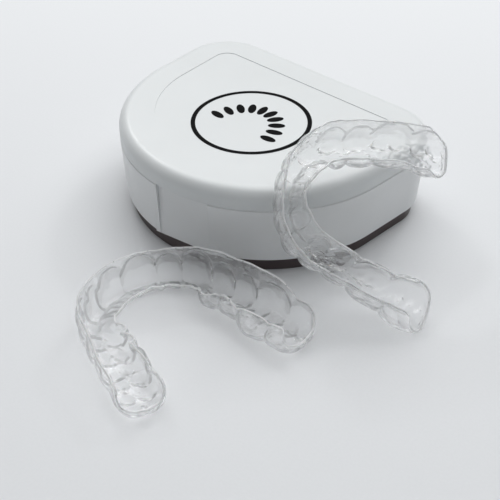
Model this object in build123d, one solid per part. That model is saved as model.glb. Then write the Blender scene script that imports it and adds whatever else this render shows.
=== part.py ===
from build123d import *
import math
import os

# A retainer case in two hinged halves, with the two clear tooth trays that it stores: the upper tray
# stands on the surface in front of the case, and the lower tray leans on the case.
# Millimetres. The origin is on the flat foot of the case, below the centre of its round front.
# +X runs along the hinge, +Y points to the hinge side and +Z points up.

# ---- Case outline: a large front arc, two corner arcs and the tangents that join them ----
FRONT_RADIUS = 40.1
CORNER_RADIUS = 13.9
CORNER_X = 27.2
CORNER_Y = 13.2
BACK_Y = CORNER_Y + CORNER_RADIUS

# ---- Case heights ----
SKIRT_HEIGHT = 3.8
SEAM_HEIGHT = 19.8
CASE_HEIGHT = 25.5

# How far a cutting block runs on past the face that it opens.
CUT_OVERRUN = 1.0

# ---- Case walls ----
WALL = 1.6
FLOOR = 1.8
DRAFT = 0.8
FOOT_INSET = 2.0
EDGE_RADIUS = 3.0
SKIRT_EDGE = 0.5
SEAM_CHAMFER = 0.3
PANEL_INSET = 9.8
PANEL_DEPTH = 0.15

# ---- Rim of the base that stands inside the lid, with the bead that the lid snaps over ----
RIM_RISE = 2.6
RIM_ROOT = 3.0
RIM_WALL = 0.9
RIM_CLEARANCE = 0.3
BEAD_WIDTH = 16.0
BEAD_PROUD = 0.15
BEAD_HEIGHT = 0.8
BEAD_ZONE = 12.0

# ---- Flat thumb recess in the front of the base, under the lid ----
RECESS_WIDTH = 16.0
RECESS_DEPTH = 1.8
RECESS_TURN = 9.0

# ---- Hinge: knuckles behind the straight back edge, on one moulded pin ----
HINGE_Y = BACK_Y + 2.3
HINGE_Z = SEAM_HEIGHT
KNUCKLE_RADIUS = 1.9
KNUCKLE_LENGTH = 7.0
KNUCKLE_GAP = 0.3
KNUCKLE_COUNT = 5
PIN_RADIUS = 1.0
PIN_CLEARANCE = 0.05
WEB_CLEARANCE = 0.3

# ---- Emblem printed on the lid: a ring round an arch of plain tooth shapes ----
PRINT_CENTRE = (1.6, -7.75)
PRINT_THICKNESS = 0.06
RING_RADIUS = 16.2
RING_STROKE = 1.2
ICON_RADIUS_X = 9.2
ICON_RADIUS_Y = 11.6
ICON_DROP = 5.4
ICON_TEETH = 10
ICON_TOOTH_LENGTH = 4.6
ICON_TOOTH_WIDTH = 2.2

# ---- Tooth trays: a U channel along an arch of three tangent arcs ----
TRAY_WALL = 0.8
TRAY_FLANGE_HEIGHT = 11.6
TRAY_MOLAR_HEIGHT = 8.2
TRAY_TONGUE_HEIGHT = 7.6
TRAY_FRONT_DEPTH = 8.0
TRAY_MOLAR_DEPTH = 10.2
TRAY_PROUD = 0.5

# Radius and half angle of the front arc, radius of the side arcs, and how far the channel runs
# along the cheek side from the midline: to each end, and to the first molar.
UPPER_ARCH = {
    "front_radius": 20.5,
    "front_angle": 69.0,
    "side_radius": 170.0,
    "right_reach": 54.0,
    "left_reach": 48.5,
    "molar_start": 36.2,
}
LOWER_ARCH = {
    "front_radius": 17.8,
    "front_angle": 72.8,
    "side_radius": 162.0,
    "right_reach": 51.0,
    "left_reach": 51.0,
    "molar_start": 31.4,
}

# Where each tray's front midline lies, and its turns about Z, then X, then Y.
UPPER_PLACE = Pos(6.5, -59.8, 0.0) * Rot(Z=81.9)
LOWER_PLACE = Pos(27.4, -30.0, 25.2) * Rot(Z=130.3) * Rot(X=15.5) * Rot(Y=-39.1)


def case_outline(inset):
    """The case outline, moved inwards by inset: arcs and the lines that are tangent to them."""
    front = FRONT_RADIUS - inset
    corner = CORNER_RADIUS - inset
    to_corner = math.atan2(CORNER_Y, CORNER_X)
    turn = to_corner - math.acos((FRONT_RADIUS - CORNER_RADIUS) / math.hypot(CORNER_X, CORNER_Y))
    middle = (turn + math.pi / 2) / 2
    side_low = (front * math.cos(turn), front * math.sin(turn))
    side_high = (CORNER_X + corner * math.cos(turn), CORNER_Y + corner * math.sin(turn))
    corner_mid = (CORNER_X + corner * math.cos(middle), CORNER_Y + corner * math.sin(middle))
    back = (CORNER_X, CORNER_Y + corner)
    mirrored = [(-x, y) for x, y in (side_low, side_high, corner_mid, back)]
    edges = [
        ThreePointArc(mirrored[0], (0, -front), side_low),
        Line(side_low, side_high),
        ThreePointArc(side_high, corner_mid, back),
        Line(back, mirrored[3]),
        ThreePointArc(mirrored[3], mirrored[2], mirrored[1]),
        Line(mirrored[1], mirrored[0]),
    ]
    return make_face(Wire(edges))


def slab(inset, bottom, top):
    """The case outline moved inwards by inset, from height bottom to height top."""
    return Pos(0, 0, bottom) * extrude(case_outline(inset), top - bottom)


def x_cylinder(radius, x_start, x_end):
    """A cylinder along X on the hinge line."""
    length = x_end - x_start
    return Pos((x_start + x_end) / 2, HINGE_Y, HINGE_Z) * Rot(Y=90) * Cylinder(radius, length)


def knuckle_spans(first):
    """The X ranges of every second knuckle, from the given one."""
    pitch = KNUCKLE_LENGTH + KNUCKLE_GAP
    start = -(KNUCKLE_COUNT * pitch - KNUCKLE_GAP) / 2
    starts = [start + i * pitch for i in range(first, KNUCKLE_COUNT, 2)]
    return [(x, x + KNUCKLE_LENGTH) for x in starts]


def knuckles(first, web_bottom, web_top):
    """Every second knuckle, with the web that joins it to the wall in front of it."""
    solids = []
    for x_start, x_end in knuckle_spans(first):
        web_front = BACK_Y - WALL
        web = Box(x_end - x_start, HINGE_Y - web_front, web_top - web_bottom)
        web = Pos((x_start + x_end) / 2, (HINGE_Y + web_front) / 2, (web_bottom + web_top) / 2) * web
        barrel = x_cylinder(KNUCKLE_RADIUS, x_start, x_end)
        bore = x_cylinder(PIN_RADIUS + PIN_CLEARANCE, x_start - CUT_OVERRUN, x_end + CUT_OVERRUN)
        solids.append(web + barrel - bore)
    return solids


def thumb_recess():
    """The block cut from the base wall, and the pad that keeps the wall thick behind it."""
    face_distance = FRONT_RADIUS - RECESS_DEPTH
    depth = 2 * RECESS_DEPTH
    height = SEAM_HEIGHT - SKIRT_HEIGHT
    middle_z = (SEAM_HEIGHT + SKIRT_HEIGHT) / 2
    cut = Pos(0, -(face_distance + depth / 2), middle_z) * Box(RECESS_WIDTH, depth, height + 0.01)
    pad_top = SEAM_HEIGHT - RIM_ROOT
    pad = Box(RECESS_WIDTH + 2 * WALL, WALL, pad_top - SKIRT_HEIGHT)
    pad = Pos(0, -(face_distance - WALL / 2), (pad_top + SKIRT_HEIGHT) / 2) * pad
    return Rot(Z=RECESS_TURN) * cut, Rot(Z=RECESS_TURN) * pad


def make_base():
    """The lower half: draughted wall, inset foot, inner rim with its snap bead, and three knuckles."""
    wall_low = Pos(0, 0, SKIRT_HEIGHT) * case_outline(DRAFT)
    wall_high = Pos(0, 0, SEAM_HEIGHT) * case_outline(0)
    shell = loft([wall_low, wall_high], ruled=True)
    top_edges = shell.faces().sort_by(Axis.Z)[-1].edges()
    shell = chamfer(top_edges, SEAM_CHAMFER)
    bottom_edges = shell.faces().sort_by(Axis.Z)[0].edges()
    shell = fillet(bottom_edges, SKIRT_EDGE)
    recess, pad = thumb_recess()
    shell = shell - slab(WALL + DRAFT, SKIRT_HEIGHT + WALL, SEAM_HEIGHT + CUT_OVERRUN)
    shell = shell + pad - recess
    foot = slab(FOOT_INSET, 0, SKIRT_HEIGHT + WALL)
    well = slab(FOOT_INSET + WALL, FLOOR, SEAM_HEIGHT)
    rim_inset = WALL + RIM_CLEARANCE
    rim = slab(rim_inset, SEAM_HEIGHT - RIM_ROOT, SEAM_HEIGHT + RIM_RISE)
    rim = rim - slab(rim_inset + RIM_WALL, SEAM_HEIGHT - RIM_ROOT - CUT_OVERRUN, CASE_HEIGHT)
    bead_bottom = SEAM_HEIGHT + RIM_RISE / 2
    bead = slab(rim_inset - BEAD_PROUD, bead_bottom, bead_bottom + BEAD_HEIGHT)
    bead = bead - slab(rim_inset + RIM_WALL / 2, SEAM_HEIGHT, CASE_HEIGHT)
    bead_zone = Pos(0, -FRONT_RADIUS, SEAM_HEIGHT) * Box(BEAD_WIDTH, BEAD_ZONE, BEAD_ZONE)
    base = shell + foot - well + rim + (bead & bead_zone)
    for knuckle in knuckles(0, HINGE_Z - KNUCKLE_RADIUS, HINGE_Z - WEB_CLEARANCE):
        base = base + knuckle
    return base


def make_lid():
    """The upper half: a cap with a rounded edge, a shallow round panel, and two knuckles."""
    shell = slab(0, SEAM_HEIGHT, CASE_HEIGHT)
    shell = fillet(shell.faces().sort_by(Axis.Z)[-1].edges(), EDGE_RADIUS)
    shell = chamfer(shell.faces().sort_by(Axis.Z)[0].edges(), SEAM_CHAMFER)
    shell = shell - slab(WALL, SEAM_HEIGHT - CUT_OVERRUN, CASE_HEIGHT - FLOOR)
    lid = shell - slab(PANEL_INSET, CASE_HEIGHT - PANEL_DEPTH, CASE_HEIGHT + CUT_OVERRUN)
    for knuckle in knuckles(1, HINGE_Z + WEB_CLEARANCE, HINGE_Z + KNUCKLE_RADIUS):
        lid = lid + knuckle
    return lid


def make_pin():
    """The hinge pin, as long as the row of knuckles."""
    spans = knuckle_spans(0)
    return x_cylinder(PIN_RADIUS, spans[0][0], spans[-1][1])


def make_print():
    """The ink of the emblem, a thin film on the lid's panel: a ring and a row of tooth shapes."""
    ring = Circle(RING_RADIUS) - Circle(RING_RADIUS - RING_STROKE)
    marks = [ring]
    for i in range(ICON_TEETH):
        turn = math.pi * (i + 0.5) / ICON_TEETH
        x = ICON_RADIUS_X * math.cos(turn)
        y = ICON_RADIUS_Y * math.sin(turn) - ICON_DROP
        heading = math.degrees(math.atan2(math.sin(turn) / ICON_RADIUS_Y, math.cos(turn) / ICON_RADIUS_X))
        marks.append(Pos(x, y) * Rot(Z=heading) * Ellipse(ICON_TOOTH_LENGTH / 2, ICON_TOOTH_WIDTH / 2))
    place = Pos(PRINT_CENTRE[0], PRINT_CENTRE[1], CASE_HEIGHT - PANEL_DEPTH)
    return Compound([place * extrude(mark, PRINT_THICKNESS) for mark in marks])


def arch_point(arch, along, offset):
    """The point at this distance along the arch from its midline, moved out by offset."""
    side = -1 if along < 0 else 1
    front = arch["front_radius"]
    limit = math.radians(arch["front_angle"])
    turn = abs(along) / front
    if turn <= limit:
        x = (front + offset) * math.sin(turn)
        y = (front + offset) * math.cos(turn) - front
    else:
        cheek = arch["side_radius"]
        turn = limit + (abs(along) - front * limit) / cheek
        x = (front - cheek) * math.sin(limit) + (cheek + offset) * math.sin(turn)
        y = (front - cheek) * math.cos(limit) - front + (cheek + offset) * math.cos(turn)
    return side * x, y


def arch_strip(arch, start, end, outer, inner):
    """A flat strip between two offsets of the arch, from start to end along it."""
    knee = arch["front_radius"] * math.radians(arch["front_angle"])
    stops = [start] + [k for k in (-knee, knee) if start < k < end] + [end]
    edges = []
    for offset in (outer, inner):
        for a, b in zip(stops, stops[1:]):
            points = [arch_point(arch, s, offset) for s in (a, (a + b) / 2, b)]
            edges.append(ThreePointArc(*points))
    for s in (start, end):
        edges.append(Line(arch_point(arch, s, outer), arch_point(arch, s, inner)))
    return make_face(Wire(edges))


def arch_block(arch, start, end, outer, inner, bottom, top):
    """The strip of arch_strip, from height bottom to height top."""
    return Pos(0, 0, bottom) * extrude(arch_strip(arch, start, end, outer, inner), top - bottom)


def make_tray(arch):
    """A channel that is deeper and lower at the molars, with a low wall on the tongue side."""
    right, left, molar = arch["right_reach"], -arch["left_reach"], arch["molar_start"]
    wall = TRAY_WALL
    top = TRAY_FLANGE_HEIGHT
    tray = arch_block(arch, -molar, molar, TRAY_PROUD, -TRAY_FRONT_DEPTH, 0, top)
    channel_top = top + CUT_OVERRUN
    inner = -TRAY_FRONT_DEPTH + wall
    channel = arch_block(arch, -molar, molar, TRAY_PROUD - wall, inner, wall, channel_top)
    for near, far, end_wall in ((molar, right, -wall), (left, -molar, wall)):
        tray = tray + arch_block(arch, near, far, TRAY_PROUD, -TRAY_MOLAR_DEPTH, 0, TRAY_MOLAR_HEIGHT)
        start = near + (end_wall if near == left else 0)
        end = far + (end_wall if far == right else 0)
        inner = -TRAY_MOLAR_DEPTH + wall
        channel = channel + arch_block(arch, start, end, TRAY_PROUD - wall, inner, wall, channel_top)
    middle = -TRAY_FRONT_DEPTH / 2
    beyond = -TRAY_MOLAR_DEPTH - CUT_OVERRUN
    overrun = CUT_OVERRUN
    tongue_side = arch_block(
        arch, left - overrun, right + overrun, middle, beyond, TRAY_TONGUE_HEIGHT, top + overrun
    )
    return tray - channel - tongue_side


parts = {
    "case_base": make_base(),
    "case_lid": make_lid(),
    "hinge_pin": make_pin(),
    "lid_print": make_print(),
    "upper_tray": UPPER_PLACE * make_tray(UPPER_ARCH),
    "lower_tray": LOWER_PLACE * make_tray(LOWER_ARCH),
}
os.makedirs("parts", exist_ok=True)
for name, shape in parts.items():
    export_step(shape, f"parts/{name}.step")
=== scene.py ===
import math

import bpy
import numpy as np
from mathutils import Matrix, Vector


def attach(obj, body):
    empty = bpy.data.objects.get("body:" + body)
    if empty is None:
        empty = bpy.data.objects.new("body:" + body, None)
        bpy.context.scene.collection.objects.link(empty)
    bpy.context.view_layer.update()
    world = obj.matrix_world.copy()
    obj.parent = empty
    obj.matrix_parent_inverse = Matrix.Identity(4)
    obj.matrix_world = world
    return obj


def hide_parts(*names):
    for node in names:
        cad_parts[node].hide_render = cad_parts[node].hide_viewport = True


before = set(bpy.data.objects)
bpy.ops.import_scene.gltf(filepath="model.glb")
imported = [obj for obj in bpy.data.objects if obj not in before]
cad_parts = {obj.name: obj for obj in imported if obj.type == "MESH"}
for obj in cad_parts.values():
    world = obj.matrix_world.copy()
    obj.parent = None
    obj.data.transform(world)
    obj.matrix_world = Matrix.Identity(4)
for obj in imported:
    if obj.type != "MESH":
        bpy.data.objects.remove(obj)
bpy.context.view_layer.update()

# Two clear tooth trays beside a white hinged case. Lengths are in millimetres until a
# mesh or an object is made: MM turns them into the frame's metres.
MM = 0.001

# The sheet that the trays are formed from: its thickness under the teeth and at the rims,
# where it stretched most, the height from which it is that thin, and its fine wrinkles,
# with how much of them goes along each of the tray's own axes.
SHEET = 0.75
RIM_SHEET = 0.5
THIN_HEIGHT = 9.0
WRINKLE_HEIGHT = 0.05
WRINKLE_SIZE = 2.2
WRINKLE_SEED = 7
WRINKLE_WAYS = (1.0, 1.0, 0.6)

# How closely the trays' meshes follow the sheet: the spacing of the stations along the
# arch, the rows of points up each wall and across the chewing end, the steps round a rim
# and round an end, and how often the outside is smoothed.
GRID = 0.32
WALL_ROWS = 36
TABLE_ROWS = 26
RIM_STEPS = 4
END_STEPS = 14
OUTSIDE_ROUNDS = 3

# Both trays: the height of the chewing end's inside, before its cusps, the length of the
# round nose at each end, and the height where the two rims meet there. Smoothing takes a
# little off the cusps' tips, so SETTLE lets the tray down again, onto the table.
TABLE_TOP = 1.5
NOSE = 3.2
END_HEIGHT = 2.8
SETTLE = 0.17

# A crown's wall: where it is widest, as a share of its height, how square the arch of its
# gum line is, and the half width of the crease along that line. It leans by a power of the
# height, and turns in at its neighbours by a power of the distance from its middle: by
# this share of the full amount at its foot, and by this much more at its gum line. The
# outer half of a last tooth is treated as that much narrower. On the facial side, a crown
# stands proud of the gum by the ledge.
WIDEST = 0.42
GUM_POWER = 2.3
CREASE = 0.32
LEAN_POWER = 1.3
TURN_POWER = 2.8
TURN_AT_FOOT = 0.55
TURN_ABOVE_FOOT = 0.45
LAST_TURN = 0.6
FACIAL_LEDGE = 0.35

# The gum over the crowns: it starts to lean out to the lip this far below the gum line, and
# takes at least the least run to do so. Between teeth it sinks in, by a power of the
# distance from the tooth's middle, and that fades by this share towards the lip.
LEAN_START = 1.0
LEAST_RUN = 0.5
SINK_POWER = 2.2
SINK_FADE = 0.7
FACIAL_SINK = 0.7
LINGUAL_SINK = 0.4

# The chewing end: half its depth on a back tooth, how high cusps may pile up and how
# gently they reach that, how sharply its two sides are rounded, the power that gives an
# incisor one flat-topped edge, and the fine pits of the back teeth.
HALF_DEPTH = 4.5
CUSP_CAP = 1.55
CUSP_EASE = 1.3
CORNER_POWER = 7
EDGE_POWER = 6
PIT_HEIGHT = 0.42
PIT_SIZE = 1.3
PIT_SEED = 11

# A random field: how many waves it adds up, and how much their lengths differ.
WAVES = 14
WAVE_SPREAD = (0.7, 1.6)

# A tooth: its kind, its width along the arch, the heights of its facial and lingual gum
# lines, and the offsets of its chewing end's facial side and of those two gum lines.
KIND, WIDTH, FACIAL_TOP, LINGUAL_TOP, EDGE, FACIAL, LINGUAL = range(7)
UPPER_RIGHT = [
    ("incisor", 8.8, 10.2, 5.2, 1.1, 0.0, -7.4),
    ("incisor", 6.4, 9.0, 5.2, 1.1, 0.0, -7.4),
    ("canine", 7.9, 10.2, 5.8, 0.8, 0.0, -7.4),
    ("premolar", 6.8, 8.3, 6.4, -0.3, 0.0, -7.0),
    ("premolar", 6.4, 7.9, 6.4, -0.4, -0.2, -7.0),
    ("molar", 9.6, 8.6, 6.5, -0.4, 0.0, -10.3),
    ("molar", 8.2, 7.4, 6.0, -0.6, 0.0, -9.8),
]
UPPER_LEFT = [
    ("incisor", 7.9, 10.0, 5.2, 1.1, 0.0, -7.0),
    ("incisor", 5.2, 9.2, 5.2, 1.0, 0.2, -6.8),
    ("canine", 6.0, 10.0, 6.0, 0.8, 0.3, -7.4),
    ("premolar", 5.6, 8.6, 6.8, -0.8, -0.4, -8.0),
    ("premolar", 5.8, 8.2, 6.8, -1.5, -1.2, -9.0),
    ("molar", 8.8, 7.8, 7.4, -2.3, -1.8, -10.4),
    ("molar", 8.2, 7.0, 6.9, -3.2, -2.7, -11.2),
]
LOWER_RIGHT = [
    ("incisor", 5.3, 8.5, 6.5, -1.6, -1.2, -6.6),
    ("incisor", 5.8, 8.5, 6.5, -1.2, -0.3, -7.0),
    ("canine", 6.7, 9.5, 7.0, -0.6, 0.3, -7.0),
    ("premolar", 6.7, 8.5, 6.5, -0.9, 0.3, -6.2),
    ("premolar", 6.9, 8.2, 6.5, -0.6, 0.6, -6.0),
    ("molar", 10.2, 8.0, 6.5, 0.5, 2.0, -6.4),
    ("molar", 9.4, 7.0, 6.0, -0.6, 0.5, -8.0),
]
LOWER_LEFT = [
    ("incisor", 5.3, 8.5, 6.5, -1.9, -1.6, -6.6),
    ("incisor", 5.8, 8.5, 6.5, -1.9, -1.3, -7.2),
    ("canine", 6.7, 9.3, 7.0, -1.6, -0.9, -7.4),
    ("premolar", 6.7, 8.5, 6.4, -2.3, -1.0, -7.2),
    ("premolar", 6.9, 8.0, 6.3, -2.3, -1.0, -7.4),
    ("molar", 10.2, 7.5, 6.6, -0.8, -0.8, -7.8),
    ("molar", 9.4, 6.5, 6.2, 1.5, -0.4, -8.4),
]

# The rims, as places along the arch with what holds there: how far out the lips of the
# two walls stand, and how high the facial rim is.
UPPER_FACIAL_LIP = (
    (-47, -30, -15, -5, 10, 25, 45, 54),
    (-2.7, -1.2, 0.9, 0.4, -0.6, 0.0, 0.0, 0.0),
)
UPPER_LINGUAL_LIP = (
    (-47, -40, -32, -25, -15, 0, 20, 30, 38, 54),
    (-12.6, -11.2, -9.4, -8.2, -7.2, -7.2, -7.4, -7.2, -9.4, -9.0),
)
UPPER_FACIAL_RIM = (
    (-47, -40, -32, -24, -15, 0, 10, 25, 38, 43.5, 45.5, 47.6),
    (7.4, 8.3, 9.0, 10.5, 11.5, 11.3, 11.0, 12.0, 12.0, 11.0, 9.8, 8.3),
)
LOWER_FACIAL_LIP = (
    (-51, -40, -24, -11, 0, 11, 20, 30, 41, 51),
    (-0.6, -0.6, -0.7, -1.1, -1.7, 0.3, 1.6, 1.9, 1.9, 0.8),
)
LOWER_LINGUAL_LIP = (
    (-51, -40, -30, -21, -11, 0, 11, 24, 36, 46, 51),
    (-8.4, -8.0, -8.3, -8.6, -8.3, -7.0, -7.2, -6.3, -6.6, -8.2, -8.2),
)
LOWER_FACIAL_RIM = (
    (-51, -45, -30, 0, 22, 30, 36, 42, 51),
    (8.6, 9.6, 10.5, 11.0, 10.8, 9.8, 8.7, 8.4, 7.4),
)

# Each kind of tooth: how deep its chewing end is (none: as deep as the tooth), how far
# its facial and lingual sides swell, how far they turn in at a neighbour, and how far its
# lingual side steps out of the gum.
KINDS = {
    "incisor": {"depth": 3.0, "swell": 0.75, "back_swell": -0.6, "turn_in": 0.9, "bulge": 0.3},
    "canine": {"depth": 3.6, "swell": 1.0, "back_swell": -0.6, "turn_in": 1.4, "bulge": 0.3},
    "premolar": {"depth": None, "swell": 0.8, "back_swell": 1.0, "turn_in": 1.8, "bulge": 0.9},
    "molar": {"depth": None, "swell": 0.8, "back_swell": 0.8, "turn_in": 1.5, "bulge": 0.5},
}

# Cusps on each kind's chewing end: place along the tooth and across it from -1 to 1, how
# far each reaches both ways, and how tall it is.
CUSPS = {
    "incisor": [(0.0, 0.0, 0.95, 0.9, 1.5)],
    "canine": [(0.0, 0.1, 0.5, 0.8, 1.5)],
    "premolar": [(0.0, 0.55, 0.5, 0.26, 1.5), (-0.1, -0.55, 0.42, 0.26, 1.35)],
    "molar": [
        (-0.45, 0.55, 0.27, 0.25, 1.5),
        (0.4, 0.55, 0.27, 0.25, 1.45),
        (-0.42, -0.55, 0.27, 0.26, 1.5),
        (0.45, -0.55, 0.27, 0.26, 1.3),
    ],
}

# Each tray: how it is turned and where it stands, the arch that it follows, its teeth, and
# how it is trimmed. An arch is a round front and two long cheek arcs. Distances along it
# run from the midline, and offsets outwards from the facial gum line.
UPPER = {
    # Turns in degrees about its own Y, then X, then Z, and then a move.
    "turn_y": 0.0,
    "turn_x": 0.0,
    "turn_z": 81.9,
    "at": (6.5, -59.8, 0.0),
    # The arch. Its front spans this angle to either side of the midline.
    "front_radius": 20.5,
    "front_angle": 69.0,
    "side_radius": 170.0,
    # How far it goes along the arch to its left and right ends, how square those ends are
    # (2 is round), and over what length the rims run down to them.
    "reach": (47.5, 54.0),
    "nose": 2.3,
    "rim_fall": 4.2,
    # Its teeth, from the midline outwards.
    "right": UPPER_RIGHT,
    "left": UPPER_LEFT,
    # How far the back teeth's chewing ends stand out from their lingual gum lines.
    "foot": 0.6,
    "facial_lip": UPPER_FACIAL_LIP,
    "lingual_lip": UPPER_LINGUAL_LIP,
    "facial_rim": UPPER_FACIAL_RIM,
    # How far above the gum line a rim that is cut tooth by tooth stands, and how much
    # lower it is between teeth.
    "facial_cut": (0.2, 1.5),
    "lingual_cut": (0.6, 1.4),
    # Where the facial rim turns into such a cut one, on the left and on the right, and
    # over what length. The lingual rim does so at one distance on both sides.
    "facial_turn": (47.5, 46.9, 1.3),
    "lingual_turn": (27.0, 5.0),
    # The lingual rim's height at the midline, and its fall per distance squared.
    "front_rim": (5.5, 0.0),
}
LOWER = {
    "turn_y": -39.1,
    "turn_x": 15.5,
    "turn_z": 130.3,
    "at": (27.4, -30.0, 25.2),
    "front_radius": 17.8,
    "front_angle": 72.8,
    "side_radius": 162.0,
    "reach": (52.5, 51.0),
    "nose": 4.0,
    "rim_fall": 6.5,
    "right": LOWER_RIGHT,
    "left": LOWER_LEFT,
    "foot": -0.3,
    "facial_lip": LOWER_FACIAL_LIP,
    "lingual_lip": LOWER_LINGUAL_LIP,
    "facial_rim": LOWER_FACIAL_RIM,
    "facial_cut": (0.3, 1.8),
    "lingual_cut": (0.5, 1.6),
    "facial_turn": (45.0, 45.0, 4.0),
    "lingual_turn": (30.5, 1.5),
    "front_rim": (8.0, 0.0008),
}


# ---------------------------------------------------------------- shapes of the trays


def step(x):
    """A smooth step from 0 to 1 as x goes from 0 to 1."""
    x = np.clip(x, 0.0, 1.0)
    return x * x * (3 - 2 * x)


def mix(first, second, share):
    """First where the share is 0, second where it is 1, and a blend of both between."""
    return first * (1 - share) + second * share


def eased(at, places, values):
    """Values given at places, with a smooth run from each to the next."""
    index = np.clip(np.searchsorted(places, at) - 1, 0, len(places) - 2)
    low = np.take(places, index)
    high = np.take(places, index + 1)
    share = step((at - low) / (high - low))
    return mix(np.take(values, index), np.take(values, index + 1), share)


def arch_point(arch, along, offset):
    """The flat points at distances along an arch, moved outwards by offset."""
    front = arch["front_radius"]
    cheek = arch["side_radius"]
    limit = math.radians(arch["front_angle"])
    turn = np.abs(along) / front
    far = limit + (np.abs(along) - front * limit) / cheek
    near_x = (front + offset) * np.sin(turn)
    near_y = (front + offset) * np.cos(turn) - front
    far_x = (front - cheek) * math.sin(limit) + (cheek + offset) * np.sin(far)
    far_y = (front - cheek) * math.cos(limit) - front + (cheek + offset) * np.cos(far)
    x = np.where(turn <= limit, near_x, far_x)
    y = np.where(turn <= limit, near_y, far_y)
    return np.sign(along) * x, y


def stations(reach_left, reach_right):
    """Distances along the arch, close together in the round noses at both ends."""
    turns = np.linspace(0, math.pi / 2, END_STEPS + 1)
    nose = NOSE * np.sin(turns)
    middle = np.arange(-reach_left + NOSE, reach_right - NOSE, GRID)
    left = (-reach_left + NOSE) - nose[:0:-1]
    right = (reach_right - NOSE) + nose
    return np.concatenate([left, middle, right])


class Teeth:
    """What the teeth say at every station: which tooth is there, half its width, the place
    along it from -1 to 1, and its sizes. Turned is the place as the gum line sees it."""

    def __init__(self, right, left, along):
        self.rows = [*reversed(left), *right]
        widths = np.array([row[WIDTH] for row in self.rows])
        start = -sum(tooth[WIDTH] for tooth in left)
        edges = start + np.concatenate([[0.0], np.cumsum(widths)])
        self.along = along
        self.centres = (edges[1:] + edges[:-1]) / 2
        self.index = np.clip(np.searchsorted(edges, along) - 1, 0, len(self.rows) - 1)
        self.half = widths[self.index] / 2
        self.place = (along - self.centres[self.index]) / self.half
        self.facial_top = np.array([row[FACIAL_TOP] for row in self.rows])[self.index]
        self.lingual_top = np.array([row[LINGUAL_TOP] for row in self.rows])[self.index]
        outermost = (self.index == 0) & (self.place < 0)
        outermost |= (self.index == len(self.rows) - 1) & (self.place > 0)
        self.turned = np.where(outermost, LAST_TURN * self.place, self.place)

    def spread(self, values):
        """One value for each tooth, eased from tooth to tooth along the stations."""
        return eased(self.along, self.centres, np.array(values))

    def measure(self, column):
        """One of the teeth's own measures at every station."""
        return self.spread([row[column] for row in self.rows])

    def size(self, name):
        """One of the kinds' sizes at every station."""
        return self.spread([KINDS[row[KIND]][name] for row in self.rows])

    def back(self, foot):
        """Where the lingual side of the chewing end stands at every station. On the back
        teeth it is foot millimetres out from the gum line."""
        backs = []
        for row in self.rows:
            depth = KINDS[row[KIND]]["depth"]
            backs.append(row[LINGUAL] - foot if depth is None else row[EDGE] - depth)
        return self.spread(backs)

    def is_kind(self, name):
        """A column, true at the stations of teeth of this kind."""
        kinds = np.array([row[KIND] for row in self.rows])
        return (kinds[self.index] == name)[:, None]


def gum_reach(teeth, height, top):
    """How far a point is from its tooth's middle towards its gum line, which is at 1,
    and how many millimetres that scale spans there."""
    widest = WIDEST * top
    rise = np.clip((height - widest) / (top - widest), 0, None)
    side = np.abs(teeth.turned)[:, None]
    least = 1e-6
    reach = (side**GUM_POWER + rise**GUM_POWER) ** (1 / GUM_POWER) + least
    slope_side = (side / reach) ** (GUM_POWER - 1) / teeth.half[:, None]
    slope_rise = (rise / reach) ** (GUM_POWER - 1) / (top - widest)
    return reach, 1 / np.hypot(slope_side, slope_rise)


def wall(teeth, height, top, edge, gum, lip, swell, sink, ledge):
    """How far out a wall stands at each height: tooth crowns below their gum lines at top,
    and above them the gum, which runs out to the lip at the rim. A crown goes from edge
    to gum with a swell halfway and a ledge at its top. The gum sinks in between teeth."""
    top = top[:, None]
    rim = np.max(height, axis=1)[:, None]
    share = np.clip((height - TABLE_TOP) / (top - TABLE_TOP), 0, 1)
    side = np.abs(teeth.turned)[:, None]
    turn_in = teeth.size("turn_in")[:, None] * side**TURN_POWER
    crown = edge[:, None] + (gum - edge)[:, None] * share**LEAN_POWER
    crown = crown + swell[:, None] * 4 * share * (1 - share) + ledge * share
    crown = crown - turn_in * (TURN_AT_FOOT + TURN_ABOVE_FOOT * share)
    run = np.maximum(rim - top + LEAN_START, LEAST_RUN)
    onward = np.clip((height - top + LEAN_START) / run, 0, 1)
    flesh = gum[:, None] + (lip - gum)[:, None] * onward
    flesh = flesh - sink * side**SINK_POWER * (1 - SINK_FADE * onward)
    reach, span = gum_reach(teeth, height, top)
    inside = step(((1 - reach) * span + CREASE) / (2 * CREASE))
    return flesh + (crown - flesh) * inside


def chewing_end(teeth, across):
    """Height of the chewing end: cusps and grooves between its two sides."""
    place = teeth.place[:, None]
    height = np.zeros((len(teeth.along), len(across)))
    depth = HALF_DEPTH * across
    flat = np.stack(np.broadcast_arrays(teeth.along[:, None], depth, 0), axis=2)
    pits = PIT_HEIGHT * ripple(flat, PIT_SIZE, PIT_SEED)
    for kind, cusps in CUSPS.items():
        power = EDGE_POWER if kind == "incisor" else 2
        relief = np.zeros_like(height)
        for at, over, reach, spread, tall in cusps:
            away = ((place - at) / reach) ** power + ((across - over) / spread) ** power
            relief = relief + tall * np.exp(-away)
        relief = CUSP_CAP * np.tanh(relief / CUSP_EASE)
        if kind in ("premolar", "molar"):
            relief = relief + pits
        height = np.where(teeth.is_kind(kind), relief, height)
    corner = np.abs(across) ** CORNER_POWER
    return TABLE_TOP - height * (1 - corner)


def ripple(points, size, seed):
    """A smooth random field over points, from about -1 to 1, with bumps of that size."""
    dice = np.random.default_rng(seed)
    field = np.zeros(points.shape[:-1])
    for _ in range(WAVES):
        course = dice.normal(size=3)
        course *= 2 * math.pi / (size * np.linalg.norm(course) * dice.uniform(*WAVE_SPREAD))
        field += np.sin(points @ course + dice.uniform(0, 2 * math.pi))
    return field / math.sqrt(WAVES)


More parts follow.
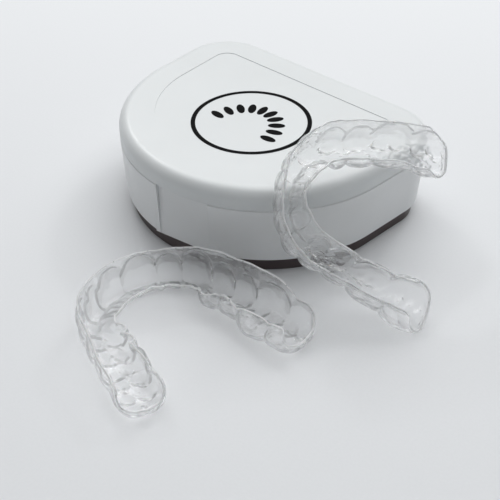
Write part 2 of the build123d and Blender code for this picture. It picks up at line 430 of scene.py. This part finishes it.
def relaxed(grid, rounds):
    """A grid of points smoothed along both of its ways. Each border is smoothed only
    along itself, and the corners are kept."""
    for _ in range(rounds):
        inner = grid.copy()
        inner[1:-1] = (grid[:-2] + 2 * grid[1:-1] + grid[2:]) / 4
        grid = inner.copy()
        grid[:, 1:-1] = (inner[:, :-2] + 2 * inner[:, 1:-1] + inner[:, 2:]) / 4
    return grid


def cast_grid(tray, teeth, facial_rim, lingual_rim):
    """The inside of a tray, as rows of points from the facial rim over the chewing end
    to the lingual rim, one row at every station."""
    along = teeth.along
    down = np.linspace(1, 0, WALL_ROWS)
    facial_height = TABLE_TOP + (facial_rim - TABLE_TOP)[:, None] * down
    lingual_height = TABLE_TOP + (lingual_rim - TABLE_TOP)[:, None] * down[::-1]
    facial = wall(
        teeth,
        facial_height,
        top=teeth.facial_top,
        edge=teeth.measure(EDGE),
        gum=teeth.measure(FACIAL),
        lip=eased(along, *tray["facial_lip"]),
        swell=teeth.size("swell"),
        sink=FACIAL_SINK,
        ledge=FACIAL_LEDGE,
    )
    lingual = -wall(
        teeth,
        lingual_height,
        top=teeth.lingual_top,
        edge=-teeth.back(tray["foot"]),
        gum=-teeth.measure(LINGUAL),
        lip=-eased(along, *tray["lingual_lip"]),
        swell=teeth.size("back_swell"),
        sink=LINGUAL_SINK,
        ledge=teeth.size("bulge")[:, None],
    )
    across = np.linspace(1, -1, TABLE_ROWS + 2)[1:-1]
    middle = (facial[:, -1:] + lingual[:, :1]) / 2
    reach = (facial[:, -1:] - lingual[:, :1]) / 2
    offset = np.concatenate([facial, middle + reach * across, lingual], axis=1)
    table_height = chewing_end(teeth, across)
    height = np.concatenate([facial_height, table_height, lingual_height], axis=1)
    pinch = nose_pinch(along, tray["nose"])
    offset = middle + (offset - middle) * pinch
    height = np.where(height < TABLE_TOP, TABLE_TOP + (height - TABLE_TOP) * pinch, height)
    x, y = arch_point(tray, along[:, None], offset)
    return np.stack([x, y, height], axis=2)


def nose_pinch(along, power):
    """A column: 1 along the tray, and down to 0 at its ends, as the round noses narrow."""
    start, end = along[0] + NOSE, along[-1] - NOSE
    beyond = np.clip(np.maximum(along - end, start - along), 0, NOSE) / NOSE
    return (np.clip(1 - beyond**power, 0, 1) ** (1 / power))[:, None]


def row_dot(first, second):
    """The dot products of two lists of vectors, as a column."""
    return np.sum(first * second, axis=1, keepdims=True)


def row_length(vectors):
    """The lengths of a list of vectors, as a column."""
    return np.linalg.norm(vectors, axis=1, keepdims=True)


def face_normals(points, faces):
    """Each point's unit normal, from the four-cornered faces round it."""
    corners = points[faces]
    normal = np.cross(corners[:, 2] - corners[:, 0], corners[:, 3] - corners[:, 1])
    total = np.zeros_like(points)
    for corner in range(4):
        np.add.at(total, faces[:, corner], normal)
    least = 1e-12
    return total / np.maximum(row_length(total), least)


def folded_ids(rows, columns):
    """The point number at each place of a grid. In the first and last rows the two walls
    are folded onto each other and share points, and the chewing end shrinks to nothing."""
    ids = np.arange(rows * columns).reshape(rows, columns)
    for row in (0, rows - 1):
        ids[row, columns - WALL_ROWS :] = ids[row, :WALL_ROWS][::-1]
        ids[row, WALL_ROWS : columns - WALL_ROWS] = ids[row, WALL_ROWS - 1]
    return ids


def outside(points, ids, quads, thickness):
    """The sheet's outside: the inside moved out by the thickness, and smoothed except at
    the two folded rows."""
    outset = points + face_normals(points, quads) * thickness
    outer = np.zeros_like(points)
    outer[ids.ravel()] = relaxed(outset[ids], OUTSIDE_ROUNDS).reshape(-1, 3)
    for row in (0, -1):
        outer[ids[row]] = outset[ids[row]]
    return outer


def rim_rings(inner, outer, inner_below, outer_below):
    """The rings of points over a half-round rim, from the inner rim to the outer one. The
    rows of points below both rims say which way is up."""
    centre = (inner + outer) / 2
    arm = (inner - outer) / 2
    lift = centre - (inner_below + outer_below) / 2
    lift -= arm * row_dot(lift, arm) / row_dot(arm, arm)
    lift *= row_length(arm) / row_length(lift)
    angles = [math.pi * number / RIM_STEPS for number in range(1, RIM_STEPS)]
    return [centre + arm * math.cos(angle) + lift * math.sin(angle) for angle in angles]


def shell_mesh(name, grid, thickness):
    """A closed mesh of the formed sheet: the grid as its inside, a smoother outside, and
    a half-round rim."""
    rows, columns = grid.shape[:2]
    used, flat = np.unique(folded_ids(rows, columns), return_inverse=True)
    ids = flat.reshape(rows, columns)
    points = grid.reshape(-1, 3)[used]
    quads = np.stack([ids[:-1, :-1], ids[1:, :-1], ids[1:, 1:], ids[:-1, 1:]], axis=2)
    quads = quads.reshape(-1, 4)
    outer = outside(points, ids, quads, thickness.reshape(-1, 1)[used])
    rim = np.concatenate([ids[:, 0], ids[-2:0:-1, -1]])
    below = np.concatenate([ids[:, 1], ids[-2:0:-1, -2]])
    rings = rim_rings(points[rim], outer[rim], points[below], outer[below])
    count = len(points)
    ring_starts = 2 * count + len(rim) * np.arange(len(rings))
    loops = [rim, *(start + np.arange(len(rim)) for start in ring_starts), rim + count]
    cut = []
    for first, second in zip(loops, loops[1:]):
        cut.append(np.stack([first, np.roll(first, -1), np.roll(second, -1), second], axis=1))
    everything = np.concatenate([points, outer, *rings])
    formed = np.concatenate([quads[:, ::-1], quads + count])
    return build_mesh(name, everything, formed, np.concatenate(cut))


def build_mesh(name, points, formed, cut):
    """A smooth-shaded object in metres from points in millimetres. The formed faces get
    its first material and the cut ones its second. Corners that fell together are merged,
    and faces with fewer than three corners left are dropped."""
    tidy = []
    kinds = []
    for kind, faces in enumerate((formed, cut)):
        for face in faces.tolist():
            corners = [point for index, point in enumerate(face) if point != face[index - 1]]
            if len(set(corners)) == len(corners) and len(corners) > 2:
                tidy.append(corners)
                kinds.append(kind)
    mesh = bpy.data.meshes.new(name)
    mesh.from_pydata((points * MM).tolist(), [], tidy)
    mesh.polygons.foreach_set("material_index", kinds)
    mesh.polygons.foreach_set("use_smooth", [True] * len(mesh.polygons))
    mesh.validate()
    made = bpy.data.objects.new(name, mesh)
    bpy.context.scene.collection.objects.link(made)
    return made


def placed(grid, tray):
    """A grid of tray points, turned and moved to where the tray stands."""
    turn = Matrix.Rotation(math.radians(tray["turn_z"]), 3, "Z")
    turn = turn @ Matrix.Rotation(math.radians(tray["turn_x"]), 3, "X")
    turn = turn @ Matrix.Rotation(math.radians(tray["turn_y"]), 3, "Y")
    return grid @ np.array(turn).T + np.array(tray["at"])


def gum_edge(teeth, top, cut):
    """The height of a rim cut along the gum line at top, tooth by tooth."""
    above, depth = cut
    low = top + above - depth
    return low + depth * np.clip(1 - np.abs(teeth.turned) ** GUM_POWER, 0, 1) ** (1 / GUM_POWER)


def facial_rim(tray, teeth):
    """The facial rim's height: free of the gum line, and near the ends cut along it."""
    along = teeth.along
    left, right, length = tray["facial_turn"]
    start = np.where(along < 0, left, right)
    free = np.interp(along, *tray["facial_rim"])
    cut = gum_edge(teeth, teeth.facial_top, tray["facial_cut"])
    return mix(free, cut, step((np.abs(along) - start) / length))


def lingual_rim(tray, teeth):
    """The lingual rim's height: free of the gum line behind the front teeth, and cut along
    it behind the others."""
    along = teeth.along
    start, length = tray["lingual_turn"]
    height, fall = tray["front_rim"]
    free = height - fall * along**2
    cut = gum_edge(teeth, teeth.lingual_top, tray["lingual_cut"])
    return mix(free, cut, step((np.abs(along) - start) / length))


def make_tray(name, tray):
    """One tray's mesh. Its rims meet at one height in the round noses at its ends."""
    along = stations(*tray["reach"])
    teeth = Teeth(tray["right"], tray["left"], along)
    meet = step(np.maximum(along - along[-1], along[0] - along) / tray["rim_fall"] + 1)
    rims = (facial_rim(tray, teeth), lingual_rim(tray, teeth))
    grid = cast_grid(tray, teeth, *(mix(rim, END_HEIGHT, meet) for rim in rims))
    grid = relaxed(grid, 1)
    thickness = np.interp(grid[..., 2], (TABLE_TOP, THIN_HEIGHT), (SHEET, RIM_SHEET))
    wrinkle = WRINKLE_HEIGHT * ripple(grid, WRINKLE_SIZE, WRINKLE_SEED)[..., None]
    grid = grid + wrinkle * np.array(WRINKLE_WAYS)
    for end in (0, -1):
        grid[end] = (grid[end] + grid[end][::-1]) / 2
    grid[..., 2] += SHEET - SETTLE
    return shell_mesh(name, placed(grid, tray), thickness)


# ---------------------------------------------------------------- materials

# Most of a noise texture's values lie between these two.
NOISE_LOW = 0.3
NOISE_HIGH = 0.7

# Painted shade on the outward sides of the case's foot, where they stand back in shadow under the
# wall: its top, just under the wall, how far a spot has to look away from the case's middle to be
# on them, and the dull brown grey painted there.
FOOT_SHADE_TOP = 3.7 * MM
OUTWARD = 1.0 * MM
FOOT_SHADE_COLOUR = (0.062, 0.045, 0.045, 1)


def new_material(name):
    """A new node material, its nodes, its links and its Principled shader."""
    material = bpy.data.materials.new(name)
    material.use_nodes = True
    nodes = material.node_tree.nodes
    return material, nodes, material.node_tree.links, nodes["Principled BSDF"]


def noise(nodes, links, source, scale, detail=3.0):
    """A noise texture over the object's own coordinates, in bumps per metre."""
    texture = nodes.new("ShaderNodeTexNoise")
    texture.inputs["Scale"].default_value = scale
    texture.inputs["Detail"].default_value = detail
    links.new(source, texture.inputs["Vector"])
    return texture


def ramp(nodes, links, source, low, high):
    """A noise value spread between low and high."""
    spread = nodes.new("ShaderNodeMapRange")
    spread.inputs["To Min"].default_value = low
    spread.inputs["To Max"].default_value = high
    spread.inputs["From Min"].default_value = NOISE_LOW
    spread.inputs["From Max"].default_value = NOISE_HIGH
    links.new(source, spread.inputs["Value"])
    return spread.outputs["Result"]


def bump(nodes, links, source, distance, strength, under=None):
    """Fine relief from a height, over any relief already there."""
    relief = nodes.new("ShaderNodeBump")
    relief.inputs["Distance"].default_value = distance
    relief.inputs["Strength"].default_value = strength
    links.new(source, relief.inputs["Height"])
    if under is not None:
        links.new(under, relief.inputs["Normal"])
    return relief.outputs["Normal"]


def tint(nodes, links, source, dark, light):
    """A colour between dark and light, by a noise value."""
    blend = nodes.new("ShaderNodeValToRGB")
    blend.color_ramp.elements[0].color = (*dark, 1)
    blend.color_ramp.elements[0].position = NOISE_LOW
    blend.color_ramp.elements[1].color = (*light, 1)
    blend.color_ramp.elements[1].position = NOISE_HIGH
    links.new(source, blend.inputs["Fac"])
    return blend.outputs["Color"]


def maths(nodes, links, kind, operation, first, second):
    """A maths node of that kind. Each of its two inputs is another node's output or set."""
    node = nodes.new(kind)
    node.operation = operation
    for socket, source in zip(node.inputs, (first, second)):
        if isinstance(source, bpy.types.NodeSocket):
            links.new(source, socket)
        else:
            socket.default_value = source
    return node


def painted_foot_shade(nodes, links, coordinates, plain_colour):
    """The plain colour, but with painted shade, a dull brown grey, on the outward sides of the
    foot, where it stands back in shadow under the wall."""
    spot = coordinates.outputs["Object"]
    normal = coordinates.outputs["Normal"]
    number, vector = "ShaderNodeMath", "ShaderNodeVectorMath"
    parts = nodes.new("ShaderNodeSeparateXYZ")
    links.new(spot, parts.inputs["Vector"])
    below = maths(nodes, links, number, "LESS_THAN", parts.outputs["Z"], FOOT_SHADE_TOP)
    flat = maths(nodes, links, vector, "MULTIPLY", spot, (1, 1, 0))
    facing = maths(nodes, links, vector, "DOT_PRODUCT", flat.outputs["Vector"], normal)
    outward = maths(nodes, links, number, "GREATER_THAN", facing.outputs["Value"], OUTWARD)
    in_shadow = maths(
        nodes, links, number, "MULTIPLY", below.outputs["Value"], outward.outputs["Value"]
    )
    # Mixes in the painted shade where the spot is both low and facing outward.
    blend = nodes.new("ShaderNodeMix")
    blend.data_type = "RGBA"
    links.new(in_shadow.outputs["Value"], blend.inputs["Factor"])
    links.new(plain_colour, blend.inputs["A"])
    blend.inputs["B"].default_value = FOOT_SHADE_COLOUR
    return blend.outputs["Result"]


def case_plastic(name, light, shaded_foot=False):
    """White moulded polypropylene: satin, a little cloudy, with faint mould grain. It can have
    painted shade round the foot, where it stands back in shadow under the wall."""
    material, nodes, links, shader = new_material(name)
    coordinates = nodes.new("ShaderNodeTexCoord")
    spot = coordinates.outputs["Object"]
    cloud = noise(nodes, links, spot, 45.0)
    grain = noise(nodes, links, spot, 2600.0, 2.0)
    flow = noise(nodes, links, spot, 260.0)
    dark = tuple(0.97 * level for level in light)
    colour = tint(nodes, links, cloud.outputs["Fac"], dark, light)
    # Painted shade on the foot's outward sides, which stand in shadow under the wall.
    if shaded_foot:
        colour = painted_foot_shade(nodes, links, coordinates, colour)
    links.new(colour, shader.inputs["Base Color"])
    links.new(ramp(nodes, links, flow.outputs["Fac"], 0.3, 0.4), shader.inputs["Roughness"])
    waves = bump(nodes, links, flow.outputs["Fac"], distance=0.00002, strength=0.35)
    pores = bump(nodes, links, grain.outputs["Fac"], distance=0.00001, strength=0.3, under=waves)
    links.new(pores, shader.inputs["Normal"])
    shader.inputs["Subsurface Weight"].default_value = 0.12
    shader.inputs["Subsurface Radius"].default_value = (0.0012, 0.0011, 0.001)
    shader.inputs["Subsurface Scale"].default_value = 1.0
    shader.inputs["IOR"].default_value = 1.49
    return material


def print_ink():
    """Black pad-print ink: nearly matt, with a faintly uneven film."""
    material, nodes, links, shader = new_material("print_ink")
    spot = nodes.new("ShaderNodeTexCoord").outputs["Object"]
    film = noise(nodes, links, spot, 900.0)
    black = tint(nodes, links, film.outputs["Fac"], (0.002, 0.002, 0.002), (0.006, 0.006, 0.007))
    links.new(black, shader.inputs["Base Color"])
    links.new(ramp(nodes, links, film.outputs["Fac"], 0.5, 0.65), shader.inputs["Roughness"])
    relief = bump(nodes, links, film.outputs["Fac"], distance=0.00001, strength=0.3)
    links.new(relief, shader.inputs["Normal"])
    shader.inputs["Specular IOR Level"].default_value = 0.03
    return material


def see_through(nodes, links, shader, straight, shade):
    """Lets a share of all light straight through, as a thin sheet does, and a bigger
    share in shadows, which would otherwise be as dark as a solid thing's."""
    path = nodes.new("ShaderNodeLightPath")
    share = nodes.new("ShaderNodeMapRange")
    share.inputs["To Min"].default_value = straight
    share.inputs["To Max"].default_value = shade
    links.new(path.outputs["Is Shadow Ray"], share.inputs["Value"])
    through = nodes.new("ShaderNodeBsdfTransparent")
    blend = nodes.new("ShaderNodeMixShader")
    links.new(share.outputs["Result"], blend.inputs["Fac"])
    links.new(shader.outputs["BSDF"], blend.inputs[1])
    links.new(through.outputs["BSDF"], blend.inputs[2])
    links.new(blend.outputs["Shader"], nodes["Material Output"].inputs["Surface"])


def clear_sheet():
    """Clear thermoformed sheet: hard, glossy, and faintly uneven where it stretched."""
    material, nodes, links, shader = new_material("clear_tray")
    spot = nodes.new("ShaderNodeTexCoord").outputs["Object"]
    haze = noise(nodes, links, spot, 160.0)
    ripples = noise(nodes, links, spot, 420.0, 2.0)
    clear = tint(nodes, links, haze.outputs["Fac"], (0.985, 0.99, 0.995), (0.998, 0.999, 1.0))
    links.new(clear, shader.inputs["Base Color"])
    links.new(ramp(nodes, links, haze.outputs["Fac"], 0.0, 0.05), shader.inputs["Roughness"])
    relief = bump(nodes, links, ripples.outputs["Fac"], distance=0.00006, strength=0.25)
    links.new(relief, shader.inputs["Normal"])
    shader.inputs["Transmission Weight"].default_value = 0.97
    shader.inputs["IOR"].default_value = 1.38
    shader.inputs["Coat Weight"].default_value = 0.5
    shader.inputs["Coat IOR"].default_value = 1.6
    shader.inputs["Coat Roughness"].default_value = 0.02
    see_through(nodes, links, shader, straight=0.26, shade=0.68)
    return material


def cut_edge():
    """The trimmed rim of the same sheet: finely scratched, so that it looks frosted."""
    material, nodes, links, shader = new_material("cut_edge")
    spot = nodes.new("ShaderNodeTexCoord").outputs["Object"]
    scratches = noise(nodes, links, spot, 1400.0)
    pale = tint(nodes, links, scratches.outputs["Fac"], (0.86, 0.87, 0.88), (0.95, 0.955, 0.96))
    links.new(pale, shader.inputs["Base Color"])
    links.new(ramp(nodes, links, scratches.outputs["Fac"], 0.25, 0.5), shader.inputs["Roughness"])
    relief = bump(nodes, links, scratches.outputs["Fac"], distance=0.00003, strength=0.5)
    links.new(relief, shader.inputs["Normal"])
    shader.inputs["Transmission Weight"].default_value = 0.6
    shader.inputs["IOR"].default_value = 1.5
    see_through(nodes, links, shader, straight=0.0, shade=0.5)
    return material


def floor_paper():
    """Matt pale grey studio board."""
    material, nodes, links, shader = new_material("studio_board")
    spot = nodes.new("ShaderNodeTexCoord").outputs["Object"]
    fibre = noise(nodes, links, spot, 1500.0)
    pale = tint(nodes, links, fibre.outputs["Fac"], (0.70, 0.715, 0.73), (0.715, 0.73, 0.745))
    links.new(pale, shader.inputs["Base Color"])
    shader.inputs["Roughness"].default_value = 0.8
    return material


# ---------------------------------------------------------------- the studio

# In metres: the camera's place, what it looks at, and half the floor's side. The lens and
# the sensor are in millimetres.
CAMERA_AT = (0.1494, -0.1696, 0.1574)
CAMERA_TARGET = (0.0171, -0.0252, 0.0)
CAMERA_LENS = 68.4
CAMERA_SENSOR = 36.0
FLOOR_REACH = 3.0


def make_floor():
    """A wide board under everything, which isn't part of the object."""
    mesh = bpy.data.meshes.new("studio_floor")
    ways = ((-1, -1), (1, -1), (1, 1), (-1, 1))
    corners = [(FLOOR_REACH * x, FLOOR_REACH * y, 0) for x, y in ways]
    mesh.from_pydata(corners, [], [(0, 1, 2, 3)])
    floor = bpy.data.objects.new("studio_floor", mesh)
    bpy.context.scene.collection.objects.link(floor)
    floor.data.materials.append(floor_paper())


def aim(thing, target):
    """Turns a light or the camera to look at a point."""
    way = Vector(target) - thing.location
    thing.rotation_euler = way.to_track_quat("-Z", "Y").to_euler()


def area_light(name, at, target, size, power):
    """A soft rectangular light, sized in metres, that shines at a target with a power in
    watts."""
    lamp = bpy.data.lights.new(name, "AREA")
    lamp.shape = "RECTANGLE"
    lamp.size, lamp.size_y = size
    lamp.energy = power
    thing = bpy.data.objects.new(name, lamp)
    bpy.context.scene.collection.objects.link(thing)
    thing.location = at
    aim(thing, target)


def make_light():
    """One big soft box above and behind, two small lamps that glint in the clear sheet,
    and a pale surround."""
    world = bpy.data.worlds.new("surround")
    world.use_nodes = True
    sky = world.node_tree.nodes["Background"]
    sky.inputs["Color"].default_value = (0.87, 0.88, 0.895, 1)
    sky.inputs["Strength"].default_value = 0.36
    bpy.context.scene.world = world
    area_light("soft_box", (-0.20, 0.36, 0.80), (0, -0.02, 0), (1.35, 1.05), 9.0)
    area_light("glint_left", (-0.42, 0.16, 0.40), (0, -0.03, 0), (0.09, 0.02), 0.3)
    area_light("glint_right", (-0.05, 0.45, 0.42), (0, -0.03, 0), (0.09, 0.02), 0.3)
    bpy.context.scene.view_settings.view_transform = "Standard"


def make_camera():
    """A short telephoto from the front right, looking down at the trays and the case."""
    data = bpy.data.cameras.new("view")
    data.lens = CAMERA_LENS
    data.sensor_width = CAMERA_SENSOR
    data.clip_start = 0.01
    camera = bpy.data.objects.new("view", data)
    bpy.context.scene.collection.objects.link(camera)
    camera.location = CAMERA_AT
    aim(camera, CAMERA_TARGET)
    bpy.context.scene.camera = camera


def paint(node, material):
    """Gives a CAD node's object one material on all of its slots."""
    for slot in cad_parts[node].material_slots:
        slot.material = material


make_camera()
make_light()
make_floor()

# The base gets painted shade on the outward sides of its foot.
paint("case_base", case_plastic("case_white", (0.75, 0.765, 0.77), shaded_foot=True))
# Painted shade: the lid is the same white plastic as the base, given a darker colour so that its
# top, which faces the soft box, is not too bright.
paint("case_lid", case_plastic("lid_white_shaded", (0.68, 0.705, 0.71)))
paint("hinge_pin", case_plastic("pin_white", (0.74, 0.75, 0.755)))
paint("lid_print", print_ink())

clear = clear_sheet()
cut = cut_edge()
for node, tray in (("upper_tray", UPPER), ("lower_tray", LOWER)):
    formed = make_tray(f"{node}_formed", tray)
    formed.data.materials.append(clear)
    formed.data.materials.append(cut)
    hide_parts(node)
    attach(formed, node)
